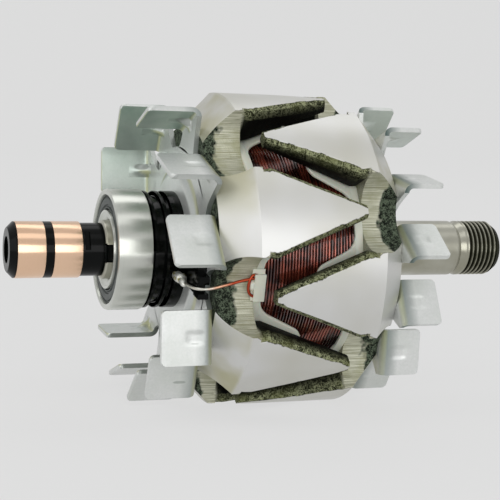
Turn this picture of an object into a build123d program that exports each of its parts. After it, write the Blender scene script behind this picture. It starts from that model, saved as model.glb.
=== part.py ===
from build123d import *
from math import cos, radians, sin, sqrt
import os

# Claw-pole rotor of a vehicle alternator, lying with its shaft along X.
# Origin on the shaft axis, midway between the two pole discs.
# The slip rings point to -X, the threaded drive end to +X, all lengths in mm.
# Angles about the shaft count from the near side, -Y, upwards.

# Shaft stations along X
SHAFT_START = -75.2
SHAFT_END = 76.1
RING_JOURNAL_R = 5.0
RING_JOURNAL_END = -59.0
BEARING_SEAT_R = 8.5
POLE_SEAT_R = 10.0
DRIVE_SHOULDER_X = 30.4
DRIVE_SEAT_R = 8.5
NECK_GROOVE_X = 62.0
NECK_GROOVE_HALF = 1.3
NECK_GROOVE_DEPTH = 0.85
END_CHAMFER = (2.3, 1.6)
SEAT_CHAMFER = 0.5
LEAD_GROOVE_WIDTH = 5.0
LEAD_GROOVE_R = 5.6
LEAD_GROOVE_END = -31.0
CENTRE_HOLE_R = 2.0
CENTRE_HOLE_TIP_R = 0.3
CENTRE_HOLE_DEPTH = 3.5

# Slip rings and their plastic body
RING_R = 8.1
RING_BORE_R = 6.6
RING_EDGE = 0.3
RING_SPANS = [(-76.0, -68.0), (-65.7, -57.6)]
BODY_RIM_R = 8.05
CAP_START = -78.0
CAP_FACE_R = 6.3
CAP_CONE = 1.7
CAP_RECESS_R = 3.8
CAP_RECESS_DEPTH = 1.3
NECK_R = 7.65
NECK_END = -51.2
NECK_SLOT_X = -56.1
NECK_SLOT_ANGLE = 28.8
NECK_SLOT_SIZE = (1.3, 5.4, 0.9)
LEAD_BAR_WIDTH = 4.6
LEAD_BAR_TOP = 8.1
LEAD_BAR_END = -34.0
BAR_GAP = 0.02

# Ball bearing 17 x 35 x 10
BEARING_R = 17.5
BEARING_WIDTH = 10.0
BEARING_BACK = -39.75
BEARING_RIM_R = 15.7
BEARING_LAND_R = 15.0
BEARING_INNER_R = 11.4
BEARING_EDGE = 0.6
BALL_COUNT = 10
BALL_R = 2.35
BALL_PITCH_R = 13.0
BALL_CLEARANCE = 0.12
SEAL_THICKNESS = 0.9
SEAL_RECESS = 0.5
SEAL_LIP_GAP = 0.3

# Claw poles
POLE_COUNT = 6
POLE_R = 46.0
POLE_FACE_X = 27.0
POLE_FACE_R = 37.0
SHOULDER_X = 18.3
DISC_INNER_X = 16.0
CLAW_WIDE_X = 13.3
CLAW_TIP_X = 13.0
CLAW_WIDE_HALF = 12.3
CLAW_SHOULDER_HALF = 11.4
CLAW_TIP_HALF = 1.8
CLAW_ROOT_R = 35.4
CLAW_TIP_R = 42.4
CLAW_CHAMFER = 0.75
CLAW_WALL = 2.2
# Underside's lower edges at the shoulder, the widest place and the tip: half width and height
CLAW_FEET = [(7.4, 34.1), (8.1, 34.1), (0.9, 41.4)]
VALLEY_R = 11.4
VALLEY_CENTRE_R = 45.6
VALLEY_LENGTH = 24.0
CORE_R = 21.0
REAR_PHASE = 21.6
FRONT_PHASE = REAR_PHASE - 180 / POLE_COUNT

# Field coil on its plastic bobbin, whose petals reach over the coil under every claw
BOBBIN_BORE_R = 21.2
BOBBIN_WALL = 1.0
FLANGE_THICKNESS = 1.0
FLANGE_R = 35.0
COIL_R = 34.0
PETAL_ROOT_X = 13.6
PETAL_ROOT_HALF = 10.8
PETAL_SLOPE = 0.36
PETAL_TIP_X = -0.8
PETAL_TIP_R = 38.4
PETAL_ROOT_CHAMFER = 2.0

# Fans, pressed from zinc-plated sheet; each blade is its fold's outer angle, inner angle and height
FAN_SHEET = 1.4
FAN_BORE_R = 10.7
FAN_HUB_R = 30.0
FAN_DISH_RISE = 1.6
FAN_DISH_FOOT_R = 24.3
FAN_DISH_TOP_R = 21.6
FOLD_R = 2.7
REAR_FOLD_OUTER_R = 44.7
REAR_FOLD_INNER_R = 36.5
REAR_BLADES = [(3.6, 23.4, 14.5), (34.9, 54.6, 14.5), (71.0, 88.2, 15.3), (112.9, 131.0, 15.3),
               (143.4, 160.0, 16.4), (184.0, 201.0, 16.4), (222.9, 237.2, 16.5), (248.7, 264.8, 16.4),
               (274.2, 292.8, 15.5), (298.5, 314.0, 15.0), (324.0, 342.0, 15.0)]
FRONT_FOLD_OUTER_R = 43.4
FRONT_FOLD_INNER_R = 34.0
FRONT_BLADE_HEIGHT = 12.4
FRONT_BLADE_SPAN = 14.5
FRONT_BLADES = [(start, start + FRONT_BLADE_SPAN, FRONT_BLADE_HEIGHT) for start in (
    6.0, 33.4, 62.7, 90.0, 121.0, 152.0, 184.0, 216.0, 248.0, 279.0, 309.5, 339.0)]
BLADE_CORNER = 1.2
ARM_LEAD = 5.2
ARM_TRAIL = 3.0
GUSSET_WIDTH = 2.7
GUSSET_REACH = 6.2
GUSSET_HEIGHT = 1.0

# Insulating lead guide between the bearing and the rear fan
GUIDE_R = 17.0
GUIDE_WAIST_R = 15.4
GUIDE_BOSS_R = 11.2
GUIDE_START = -39.2
GUIDE_END = -(POLE_FACE_X + FAN_SHEET + FAN_DISH_RISE)
GUIDE_RIBS = [(-39.2, -38.3), (-35.7, -34.8), (-33.2, GUIDE_END)]
GUIDE_SLOT_PLAY = 0.2
GUIDE_ARM_WIDTH = 8.0
GUIDE_ARM_END_R = 30.2
GUIDE_ARM_STEP_R = 25.0
GUIDE_ARM_TOP_X = -30.9
GUIDE_EAR_TOP_X = -31.4
GUIDE_EAR_END_R = 33.6
# Each ear's two sides, as offsets from the middle of its arm
GUIDE_EARS = [(-4.0, -2.5), (0.2, 2.4)]

# Lead from the coil to the slip-ring conductors, one on each side
LEAD_WIRE_R = 0.45
BLOCK_X = -14.9
BLOCK_SIZE = (3.2, 7.7, 1.5)
BLOCK_BASE_X = -15.2
BLOCK_BASE_SHIFT = 1.2
BLOCK_BASE_SIZE = (3.6, 10.1, 0.5)
LUG_SIZE = (2.9, 2.1)
LUG_TOP_R = 22.4
LUG_TAPER = -6.0
# Route points as station, angle from the valley's middle, and distance from the shaft axis
WIRE_ROUTE = [(-15.6, 4.6, 35.6), (-20.2, 3.2, 35.9), (-28.9, -0.5, 35.4), (-31.9, -1.8, 33.0),
              (-33.0, -6.0, 21.4)]
VALLEYS = {"near": FRONT_PHASE, "far": FRONT_PHASE + 180.0}
SEAT_GAP = 0.02


def polar(x, angle, r):
    """Point at station x, at an angle about the shaft and a distance from its axis."""
    a = radians(angle)
    return Vector(x, -r * cos(a), r * sin(a))


def turned(points):
    """Solid of revolution about the shaft from a closed outline of (x, r) points."""
    outline = Polyline([Vector(x, r, 0) for x, r in points], close=True)
    return revolve(make_face(outline), Axis.X, 360)


def tube(x0, x1, inner_r, outer_r):
    """Plain ring between two stations."""
    return turned([(x0, inner_r), (x1, inner_r), (x1, outer_r), (x0, outer_r)])


def spun(shape, angle):
    """Shape turned about the shaft; a positive angle lifts the near side."""
    return shape.rotate(Axis.X, -angle)


def flipped(shape):
    """Mirror image across the middle plane, for the other half."""
    return shape.mirror(Plane.YZ)


def export(shape, name):
    export_step(shape, "parts/" + name + ".step")


# Shaft: turned bar with journals, two lead grooves, a neck groove and a thread blank
def make_shaft():
    neck = NECK_GROOVE_X
    half = NECK_GROOVE_HALF
    end_length, end_drop = END_CHAMFER
    shaft = turned([
        (SHAFT_START, 0), (SHAFT_START, RING_JOURNAL_R), (RING_JOURNAL_END, RING_JOURNAL_R),
        (RING_JOURNAL_END, LEAD_GROOVE_R), (NECK_END, LEAD_GROOVE_R),
        (NECK_END, BEARING_SEAT_R - SEAT_CHAMFER), (NECK_END + SEAT_CHAMFER, BEARING_SEAT_R),
        (-POLE_FACE_X, BEARING_SEAT_R), (-POLE_FACE_X, POLE_SEAT_R),
        (DRIVE_SHOULDER_X, POLE_SEAT_R), (DRIVE_SHOULDER_X, DRIVE_SEAT_R),
        (neck - half, DRIVE_SEAT_R), (neck, DRIVE_SEAT_R - NECK_GROOVE_DEPTH),
        (neck + half, DRIVE_SEAT_R), (SHAFT_END - end_length, DRIVE_SEAT_R),
        (SHAFT_END, DRIVE_SEAT_R - end_drop), (SHAFT_END, 0),
    ])
    groove_length = LEAD_GROOVE_END - NECK_END + 1
    groove = Pos(NECK_END - 1 + groove_length / 2, 0, 0) * Box(
        groove_length, 4 * BEARING_SEAT_R, LEAD_GROOVE_WIDTH)
    groove -= tube(NECK_END - 2, LEAD_GROOVE_END + 1, 0, LEAD_GROOVE_R)
    centre = Plane(origin=(SHAFT_END, 0, 0), z_dir=(-1, 0, 0)) * Cone(
        CENTRE_HOLE_R, CENTRE_HOLE_TIP_R, CENTRE_HOLE_DEPTH,
        align=(Align.CENTER, Align.CENTER, Align.MIN))
    return shaft - groove - centre


# Slip-ring body: end cap, band between the rings, neck and two lead bars in the grooves
def make_ring_moulding():
    (a0, a1), (b0, b1) = RING_SPANS
    body = turned([
        (CAP_START, 0), (CAP_START, CAP_FACE_R), (CAP_START + CAP_CONE, BODY_RIM_R), (a0, BODY_RIM_R),
        (a0, RING_BORE_R), (a1, RING_BORE_R), (a1, BODY_RIM_R), (b0, BODY_RIM_R),
        (b0, RING_BORE_R), (b1, RING_BORE_R), (b1, NECK_R), (NECK_END, NECK_R),
        (NECK_END, LEAD_GROOVE_R), (RING_JOURNAL_END, LEAD_GROOVE_R),
        (RING_JOURNAL_END, RING_JOURNAL_R), (SHAFT_START, RING_JOURNAL_R),
        (SHAFT_START, 0),
    ])
    recess = tube(CAP_START - 1, CAP_START + CAP_RECESS_DEPTH, 0, CAP_RECESS_R)
    slot = Pos(*polar(NECK_SLOT_X, NECK_SLOT_ANGLE, NECK_R)) * Rot(90 - NECK_SLOT_ANGLE, 0, 0) * Box(
        NECK_SLOT_SIZE[0], NECK_SLOT_SIZE[1], 2 * NECK_SLOT_SIZE[2])
    bar_length = LEAD_BAR_END - NECK_END
    bars = Pos(NECK_END + bar_length / 2, 0, 0) * Box(
        bar_length, 2 * LEAD_BAR_TOP, LEAD_BAR_WIDTH)
    bars -= tube(NECK_END - 1, LEAD_BAR_END + 1, 0, LEAD_GROOVE_R + BAR_GAP)
    return body - recess - slot + bars


def make_slip_ring(span):
    x0, x1 = span
    e = RING_EDGE
    return turned([(x0, RING_BORE_R), (x1, RING_BORE_R), (x1, RING_R - e), (x1 - e, RING_R),
                   (x0 + e, RING_R), (x0, RING_R - e)])


# Bearing: rings with a ball track, ten balls, and a seal pressed in each side
def tracked(ring):
    """Bearing ring with the ball track cut round it."""
    track = Pos(BEARING_BACK - BEARING_WIDTH / 2, BALL_PITCH_R, 0) * Circle(BALL_R + BALL_CLEARANCE)
    return ring - revolve(track, Axis.X, 360)


def make_inner_ring():
    x1 = BEARING_BACK
    x0 = x1 - BEARING_WIDTH
    e = BEARING_EDGE
    return tracked(turned([
        (x0, BEARING_SEAT_R + e), (x0 + e, BEARING_SEAT_R), (x1 - e, BEARING_SEAT_R),
        (x1, BEARING_SEAT_R + e), (x1, BEARING_INNER_R), (x0, BEARING_INNER_R),
    ]))


def make_outer_ring():
    x1 = BEARING_BACK
    x0 = x1 - BEARING_WIDTH
    seat = SEAL_RECESS + SEAL_THICKNESS
    e = BEARING_EDGE
    return tracked(turned([
        (x0, BEARING_RIM_R), (x0 + seat, BEARING_RIM_R), (x0 + seat, BEARING_LAND_R),
        (x1 - seat, BEARING_LAND_R), (x1 - seat, BEARING_RIM_R), (x1, BEARING_RIM_R),
        (x1, BEARING_R - e), (x1 - e, BEARING_R), (x0 + e, BEARING_R), (x0, BEARING_R - e),
    ]))


def make_balls():
    x = BEARING_BACK - BEARING_WIDTH / 2
    places = [polar(x, 360 * i / BALL_COUNT, BALL_PITCH_R) for i in range(BALL_COUNT)]
    return Compound(children=[Pos(*place) * Sphere(BALL_R) for place in places])


def make_seal(x0):
    return tube(x0, x0 + SEAL_THICKNESS, BEARING_INNER_R + SEAL_LIP_GAP, BEARING_RIM_R)


# Lead guide: black moulded sleeve with ribs behind the bearing, and an arm to each lead
def make_lead_guide():
    bore = BEARING_SEAT_R + 0.05
    guide = turned([(BEARING_BACK, bore), (GUIDE_END, bore), (GUIDE_END, GUIDE_WAIST_R),
                    (GUIDE_START, GUIDE_WAIST_R), (GUIDE_START, GUIDE_BOSS_R),
                    (BEARING_BACK, GUIDE_BOSS_R)])
    for x0, x1 in GUIDE_RIBS:
        guide += tube(x0, x1, GUIDE_WAIST_R - 1, GUIDE_R)
    sheet_x = -(POLE_FACE_X + FAN_SHEET + SEAT_GAP)
    low_start = (GUIDE_END, GUIDE_WAIST_R - 1)
    arm_side = make_face(Polyline([Vector(x, -r, 0) for x, r in (
        low_start, (GUIDE_END, GUIDE_ARM_STEP_R), (sheet_x, GUIDE_ARM_STEP_R),
        (sheet_x, GUIDE_ARM_END_R), (GUIDE_ARM_TOP_X, GUIDE_ARM_END_R),
        (GUIDE_ARM_TOP_X, GUIDE_WAIST_R - 1))], close=True))
    arm = extrude(arm_side, GUIDE_ARM_WIDTH / 2, both=True)
    ear_face = make_face(Polyline([(sheet_x, -GUIDE_ARM_END_R + 1), (GUIDE_EAR_TOP_X, -GUIDE_ARM_END_R + 1),
                                   (GUIDE_EAR_TOP_X, -GUIDE_EAR_END_R), (sheet_x, -GUIDE_EAR_END_R)],
                                  close=True))
    for side0, side1 in GUIDE_EARS:
        arm += Pos(0, 0, side0) * extrude(ear_face, side1 - side0)
    for valley in VALLEYS.values():
        guide += spun(arm, valley)
    slot_length = LEAD_BAR_END + GUIDE_SLOT_PLAY - BEARING_BACK
    slot = Pos(BEARING_BACK + slot_length / 2, 0, 0) * Box(
        slot_length, 2 * (LEAD_BAR_TOP + GUIDE_SLOT_PLAY), LEAD_BAR_WIDTH + 2 * GUIDE_SLOT_PLAY)
    return guide - slot


# Claw pole: scalloped disc with a half core and six tapered claws
def claw_section(x, half, foot):
    """Section across a claw: flat top, chamfered edges, short upright walls and a sloping underside."""
    wall_top = sqrt(POLE_R ** 2 - half ** 2) - CLAW_CHAMFER
    rise = POLE_R + SEAT_GAP - wall_top
    right = [(half - rise, wall_top + rise), (half, wall_top), (half, wall_top - CLAW_WALL), foot]
    outline = right + [(-y, z) for y, z in reversed(right)]
    return make_face(Polyline([Vector(x, -z, y) for y, z in outline], close=True))


def make_claw():
    stations = [(-SHOULDER_X, CLAW_SHOULDER_HALF), (-CLAW_WIDE_X, CLAW_WIDE_HALF), (CLAW_TIP_X, CLAW_TIP_HALF)]
    return loft([claw_section(x, half, foot) for (x, half), foot in zip(stations, CLAW_FEET)], ruled=True)


def make_claw_pole():
    disc = turned([
        (-POLE_FACE_X, POLE_SEAT_R), (-POLE_FACE_X, POLE_FACE_R), (-SHOULDER_X, POLE_R),
        (-DISC_INNER_X, POLE_R), (-DISC_INNER_X, CORE_R), (0, CORE_R), (0, POLE_SEAT_R),
    ])
    valley = Rot(0, 90, 0) * Cylinder(VALLEY_R, VALLEY_LENGTH)
    opening = Pos(0, 0, VALLEY_R) * Box(VALLEY_LENGTH, 2 * VALLEY_R, 2 * VALLEY_R)
    scallop = Pos(-DISC_INNER_X - VALLEY_LENGTH / 3, 0, VALLEY_CENTRE_R) * (valley + opening)
    shell = turned([
        (-SHOULDER_X, CLAW_ROOT_R), (-DISC_INNER_X, CLAW_ROOT_R), (CLAW_TIP_X, CLAW_TIP_R),
        (CLAW_TIP_X, POLE_R), (-SHOULDER_X, POLE_R),
    ])
    claw = make_claw() & shell
    pole = disc
    step = 360 / POLE_COUNT
    for i in range(POLE_COUNT):
        pole -= spun(scallop, step * i - 90 + step / 2)
    for i in range(POLE_COUNT):
        pole += spun(claw, step * i)
    return pole


# Bobbin: thin plastic spool with a rim round each flange and a tapered petal under every claw
def petal_cutter():
    """Prism on the near side, in the outline of one petal of the rear rim."""
    tip_half = PETAL_ROOT_HALF - PETAL_SLOPE * (PETAL_TIP_X + PETAL_ROOT_X)
    rim_half = PETAL_ROOT_HALF + 2 * PETAL_ROOT_CHAMFER
    outline = [(-DISC_INNER_X, rim_half), (-PETAL_ROOT_X, rim_half), (-PETAL_ROOT_X, PETAL_ROOT_HALF),
               (PETAL_TIP_X, tip_half), (PETAL_TIP_X, -tip_half), (-PETAL_ROOT_X, -PETAL_ROOT_HALF),
               (-PETAL_ROOT_X, -rim_half), (-DISC_INNER_X, -rim_half)]
    face = make_face(Polyline(outline, close=True))
    for side in (-1, 1):
        root = face.vertices().sort_by_distance((-PETAL_ROOT_X, side * PETAL_ROOT_HALF, 0))[0]
        face = chamfer(root, PETAL_ROOT_CHAMFER)
    plan = Plane(origin=(0, -PETAL_TIP_R - 1, 0), x_dir=(1, 0, 0), z_dir=(0, 1, 0))
    return extrude(plan * face, PETAL_TIP_R / 2)


def make_bobbin():
    x = DISC_INNER_X
    spool = turned([
        (-x, BOBBIN_BORE_R), (x, BOBBIN_BORE_R), (x, FLANGE_R), (x - FLANGE_THICKNESS, FLANGE_R),
        (x - FLANGE_THICKNESS, BOBBIN_BORE_R + BOBBIN_WALL),
        (-x + FLANGE_THICKNESS, BOBBIN_BORE_R + BOBBIN_WALL),
        (-x + FLANGE_THICKNESS, FLANGE_R), (-x, FLANGE_R),
    ])
    coil_r = COIL_R + SEAT_GAP
    skin = turned([(-x, coil_r), (-PETAL_ROOT_X, coil_r), (PETAL_TIP_X, PETAL_TIP_R - FLANGE_R + coil_r),
                   (PETAL_TIP_X, PETAL_TIP_R), (-PETAL_ROOT_X, FLANGE_R), (-x, FLANGE_R)])
    petal = skin & petal_cutter()
    step = 360 / POLE_COUNT
    petals = [spun(petal, REAR_PHASE + step * i) for i in range(POLE_COUNT)]
    petals += [spun(flipped(petal), FRONT_PHASE + step * i) for i in range(POLE_COUNT)]
    return spool + petals


def make_coil():
    x = DISC_INNER_X - FLANGE_THICKNESS
    return tube(-x, x, BOBBIN_BORE_R + BOBBIN_WALL, COIL_R)


# Fan: dished hub with arms, each ending in a blade that is folded up along a slanting line
def make_hub():
    rise = FAN_DISH_RISE
    t = FAN_SHEET
    lag = t / 2
    return turned([(0, FAN_HUB_R), (t, FAN_HUB_R), (t, FAN_DISH_FOOT_R), (t + rise, FAN_DISH_TOP_R),
                   (t + rise, FAN_BORE_R), (rise, FAN_BORE_R), (rise, FAN_DISH_TOP_R - lag),
                   (0, FAN_DISH_FOOT_R - lag)])


def fold_section(height):
    """Section across the fold: flat sheet, bend and upright blade."""
    t = FAN_SHEET
    flat = FOLD_R + 1
    section = make_face(Polyline((flat, 0), (0, 0), (0, height), (t, height), (t, t), (flat, t),
                                 close=True))
    section = fillet(section.vertices().sort_by_distance((0, 0, 0))[0], FOLD_R)
    return fillet(section.vertices().sort_by_distance((t, t, 0))[0], FOLD_R - t)


def gusset_section():
    """Section of the pressed gusset that stiffens the fold on its hollow side."""
    t = FAN_SHEET
    return make_face(Polyline((t / 2, t / 2), (t / 2, t + GUSSET_REACH), (t + GUSSET_HEIGHT, t + GUSSET_REACH),
                              (t + GUSSET_REACH / 2, t / 2), close=True))


def make_blade(outer, inner, height):
    """Blade folded up along the line from its outer to its inner corner, with its gusset."""
    along = inner - outer
    width = along.length
    inward = along.cross(Vector(1, 0, 0)).normalized()
    across = Plane(origin=inner, x_dir=inward, z_dir=-along)
    blade = extrude(across * fold_section(height), width)
    front = Plane(origin=outer, x_dir=along, z_dir=along.cross(Vector(1, 0, 0)))
    outline = make_face(Polyline((0, -1), (width, -1), (width, height), (0, height), close=True))
    corners = outline.vertices().sort_by(Axis.Y)[-2:]
    outline = chamfer(corners, BLADE_CORNER)
    blade &= extrude(front * outline, FOLD_R + 1)
    side = (width - GUSSET_WIDTH) / 2
    gusset_plane = Plane(origin=inner - along.normalized() * side, x_dir=inward, z_dir=-along)
    return blade + extrude(gusset_plane * gusset_section(), GUSSET_WIDTH)


def make_fan(outer_r, inner_r, blades):
    """Fan with its sheet against x = 0 and its blades towards +X."""
    pieces = []
    for start, end, height in blades:
        outer = polar(0, start, outer_r)
        inner = polar(0, end, inner_r)
        pieces.append(make_blade(outer, inner, height))
        inset = (inner - outer).cross(Vector(1, 0, 0)).normalized() * FOLD_R
        back = polar(0, end + ARM_TRAIL, FAN_HUB_R - 1)
        front = polar(0, start - ARM_LEAD, FAN_HUB_R - 1)
        arm = make_face(Polyline([outer + inset, inner + inset, back, front], close=True))
        pieces.append(extrude(arm, FAN_SHEET, dir=(1, 0, 0)))
    return make_hub() + pieces


# Leads: a plastic block on the bobbin's rim, a wire along the valley, a soldered lug
def make_lead_block(valley):
    """Block on a longer foot, cut where the hollow of the valley is in the way."""
    foot = FLANGE_R + SEAT_GAP
    base = Pos(BLOCK_BASE_X, BLOCK_BASE_SHIFT, foot + BLOCK_BASE_SIZE[2] / 2) * Box(*BLOCK_BASE_SIZE)
    block = Pos(BLOCK_X, 0, foot + BLOCK_SIZE[2] / 2) * Box(*BLOCK_SIZE)
    hollow = Pos(BLOCK_X, 0, VALLEY_CENTRE_R) * Rot(0, 90, 0) * Cylinder(
        VALLEY_R - SEAT_GAP, 2 * BLOCK_BASE_SIZE[0])
    return spun((base + block) & hollow, valley - 90)


def make_lead_wire(valley):
    route = [polar(x, valley + lag, r) for x, lag, r in WIRE_ROUTE]
    path = Polyline(*route)
    section = Plane(origin=path @ 0, z_dir=path % 0) * Circle(LEAD_WIRE_R)
    return sweep(section, path=path, transition=Transition.ROUND)


def make_lug(valley):
    x, lag, r = WIRE_ROUTE[-1]
    foot = polar(x, valley + lag, GUIDE_R + SEAT_GAP)
    base = Plane(origin=foot, x_dir=(1, 0, 0), z_dir=polar(0, valley + lag, 1)) * SlotOverall(*LUG_SIZE)
    return extrude(base, LUG_TOP_R - GUIDE_R - SEAT_GAP, taper=LUG_TAPER)


os.makedirs("parts", exist_ok=True)
export(make_shaft(), "shaft")
export(make_ring_moulding(), "slip_ring_body")
export(make_slip_ring(RING_SPANS[0]), "slip_ring_outer")
export(make_slip_ring(RING_SPANS[1]), "slip_ring_inner")
export(make_inner_ring(), "bearing_inner_ring")
export(make_outer_ring(), "bearing_outer_ring")
export(make_balls(), "bearing_balls")
export(make_seal(BEARING_BACK - BEARING_WIDTH + SEAL_RECESS), "bearing_seal_front")
export(make_seal(BEARING_BACK - SEAL_RECESS - SEAL_THICKNESS), "bearing_seal_back")
export(make_lead_guide(), "lead_guide")
pole = make_claw_pole()
export(spun(pole, REAR_PHASE), "rear_claw_pole")
export(spun(flipped(pole), FRONT_PHASE), "front_claw_pole")
export(make_bobbin(), "coil_bobbin")
export(make_coil(), "field_coil")
rear_fan = make_fan(REAR_FOLD_OUTER_R, REAR_FOLD_INNER_R, REAR_BLADES)
front_fan = make_fan(FRONT_FOLD_OUTER_R, FRONT_FOLD_INNER_R, FRONT_BLADES)
export(flipped(Pos(POLE_FACE_X, 0, 0) * rear_fan), "rear_fan")
export(Pos(POLE_FACE_X, 0, 0) * front_fan, "front_fan")
for side, valley in VALLEYS.items():
    export(make_lead_block(valley), "lead_block_" + side)
    export(make_lead_wire(valley), "lead_wire_" + side)
    export(make_lug(valley), "solder_lug_" + side)
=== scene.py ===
from math import cos, pi, radians, sin, tau

import bmesh
import bpy
import numpy as np
from mathutils import Matrix, Vector


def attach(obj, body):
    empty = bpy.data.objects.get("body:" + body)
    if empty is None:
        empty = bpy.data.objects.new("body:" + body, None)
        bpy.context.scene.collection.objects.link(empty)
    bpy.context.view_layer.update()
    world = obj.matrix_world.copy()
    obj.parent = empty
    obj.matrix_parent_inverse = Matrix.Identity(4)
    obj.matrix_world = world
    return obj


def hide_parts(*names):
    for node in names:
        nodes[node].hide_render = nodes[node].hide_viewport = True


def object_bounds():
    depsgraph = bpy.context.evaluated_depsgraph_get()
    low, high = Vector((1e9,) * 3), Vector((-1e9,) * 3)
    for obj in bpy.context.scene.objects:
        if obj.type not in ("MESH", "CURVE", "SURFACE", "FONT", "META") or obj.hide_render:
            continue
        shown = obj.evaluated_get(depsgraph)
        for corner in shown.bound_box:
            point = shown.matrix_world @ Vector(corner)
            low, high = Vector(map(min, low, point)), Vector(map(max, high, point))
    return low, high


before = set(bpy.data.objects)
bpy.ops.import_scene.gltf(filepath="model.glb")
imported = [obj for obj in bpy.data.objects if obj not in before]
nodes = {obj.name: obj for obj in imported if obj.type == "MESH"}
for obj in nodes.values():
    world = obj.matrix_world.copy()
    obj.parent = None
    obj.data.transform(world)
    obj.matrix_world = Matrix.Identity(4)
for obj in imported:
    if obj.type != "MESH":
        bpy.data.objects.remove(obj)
cad_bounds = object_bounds()

# The view: a long lens looks at the near side of the rotor, turned towards the slip rings and
# tilted down a little. A pale sheet runs under the rotor and up behind it, as in a light tent,
# and long soft panels hang above, beside and in front of it. These lengths are in metres.
TARGET = (-0.0052, 0.0, 0.0)
DISTANCE = 0.38971
TURN = radians(19.74)
TILT = radians(8.93)
ROLL = radians(0.26)
FOCAL_SHARE = 2.6
SENSOR_MM = 36.0
SHIFT_Y = -0.0029
NEAREST, FARTHEST = 0.01, 20.0
FLOOR_Z = cad_bounds[0][2]
SHEET_HALF_WIDTH = 3.0
SHEET_FRONT_Y = -3.0
SHEET_BEND_Y = 0.9
SHEET_BEND_R = 0.8
SHEET_TOP_Z = 3.2
SHEET_OWN_TONE = 0.8
TENT_FILL = 0.5
PALE = "#DBDBDB"
SHEET_PALE = "#E7E7E7"
PANEL_DISTANCE = 1.2
# Azimuth, elevation and height in degrees, width in metres, power in watts.
PANELS = {"panel_front": (10, 10, 36, 1.7, 6.8),
          "panel_top_front": (0, 66, 22, 1.6, 1.3),
          "panel_top_back": (185, 63, 22, 1.6, 2.2),
          "panel_left": (75, 12, 44, 0.9, 1.8)}
MERGE_DISTANCE = 2e-7


def linear(hex_colour, alpha=1.0):
    """Linear RGBA of an sRGB hex colour: each channel below 0.04045 is divided by 12.92, and
    the rest is ((c + 0.055) / 1.055) to the power 2.4."""
    channels = [int(hex_colour[i:i + 2], 16) / 255 for i in (1, 3, 5)]
    return tuple(c / 12.92 if c <= 0.04045 else ((c + 0.055) / 1.055) ** 2.4
                 for c in channels) + (alpha,)


def plug(tree, node, sockets):
    """Set a node's sockets to a plain value, an output, or a node's first live output. They are
    given by name or number, or listed in the node's own order: a range is mapped from value,
    lowest, highest, and to lowest, highest."""
    for name, value in sockets.items() if isinstance(sockets, dict) else enumerate(sockets):
        if isinstance(value, bpy.types.Node):
            value = next(output for output in value.outputs if output.enabled)
        if isinstance(value, bpy.types.NodeSocket):
            tree.links.new(value, node.inputs[name])
        else:
            node.inputs[name].default_value = value


def add(tree, kind, sockets=None, **settings):
    """Add a shader node with its own settings and its sockets."""
    node = tree.nodes.new("ShaderNode" + kind)
    for name, value in settings.items():
        setattr(node, name, value)
    plug(tree, node, sockets or {})
    return node


def grid_faces(rows, columns, wrap_rows, wrap_columns):
    """Quads of a grid of rows x columns vertices, joined end to end where it wraps."""
    r = np.arange(rows if wrap_rows else rows - 1)
    c = np.arange(columns if wrap_columns else columns - 1)
    r, c = np.meshgrid(r, c, indexing="ij")
    r1, c1 = (r + 1) % rows, (c + 1) % columns
    quads = (r * columns + c, r * columns + c1, r1 * columns + c1, r1 * columns + c)
    return np.stack(quads, axis=-1).reshape(-1, 4)


def finish_mesh(mesh, sharp, outward):
    """Merge coincident points, turn faces outwards if asked, and shade smooth between edges
    that are sharper than the given angle."""
    work = bmesh.new()
    work.from_mesh(mesh)
    bmesh.ops.remove_doubles(work, verts=work.verts, dist=MERGE_DISTANCE)
    if outward:
        bmesh.ops.recalc_face_normals(work, faces=work.faces)
    work.to_mesh(mesh)
    work.free()
    mesh.polygons.foreach_set("use_smooth", np.ones(len(mesh.polygons), bool))
    mesh.set_sharp_from_angle(angle=radians(sharp))
    mesh.update()


def piece(name, grids, sharp=35.0, outward=True):
    """Mesh object from grids given as (points in millimetres, wraps along rows, wraps along
    columns). Coincident points are merged, so poles and seams close."""
    points, faces, start = [], [], 0
    for grid, wrap_rows, wrap_columns in grids:
        rows, columns = grid.shape[:2]
        points.append(grid.reshape(-1, 3) / 1000)
        faces.append(grid_faces(rows, columns, wrap_rows, wrap_columns) + start)
        start += rows * columns
    mesh = bpy.data.meshes.new(name)
    mesh.from_pydata(np.concatenate(points), [], np.concatenate(faces))
    finish_mesh(mesh, sharp, outward)
    obj = bpy.data.objects.new(name, mesh)
    bpy.context.scene.collection.objects.link(obj)
    return obj


def sees_backdrop(tree):
    """1 for the rays of the lens, of metal and of glass, which see the backdrop's own tone."""
    rays = add(tree, "LightPath").outputs
    seen = add(tree, "Math", (rays["Is Camera Ray"], rays["Is Glossy Ray"]), operation="MAXIMUM")
    return add(tree, "Math", (seen, rays["Is Transmission Ray"]), operation="MAXIMUM")


def paper_material():
    """Matt paper. Lens and metal see mostly its own even tone, and the rest takes the shadow."""
    material = bpy.data.materials.new("matt_paper_sheet")
    material.use_nodes = True
    tree = material.node_tree
    tree.nodes.clear()
    share = add(tree, "Math", (sees_backdrop(tree), SHEET_OWN_TONE), operation="MULTIPLY")
    matt = add(tree, "BsdfDiffuse", {"Color": linear("#D8D8D7")})
    even = add(tree, "Emission", {"Color": linear(SHEET_PALE), "Strength": 1.0})
    mix = add(tree, "MixShader", (share, matt, even))
    add(tree, "OutputMaterial", {"Surface": mix})
    return material


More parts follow.
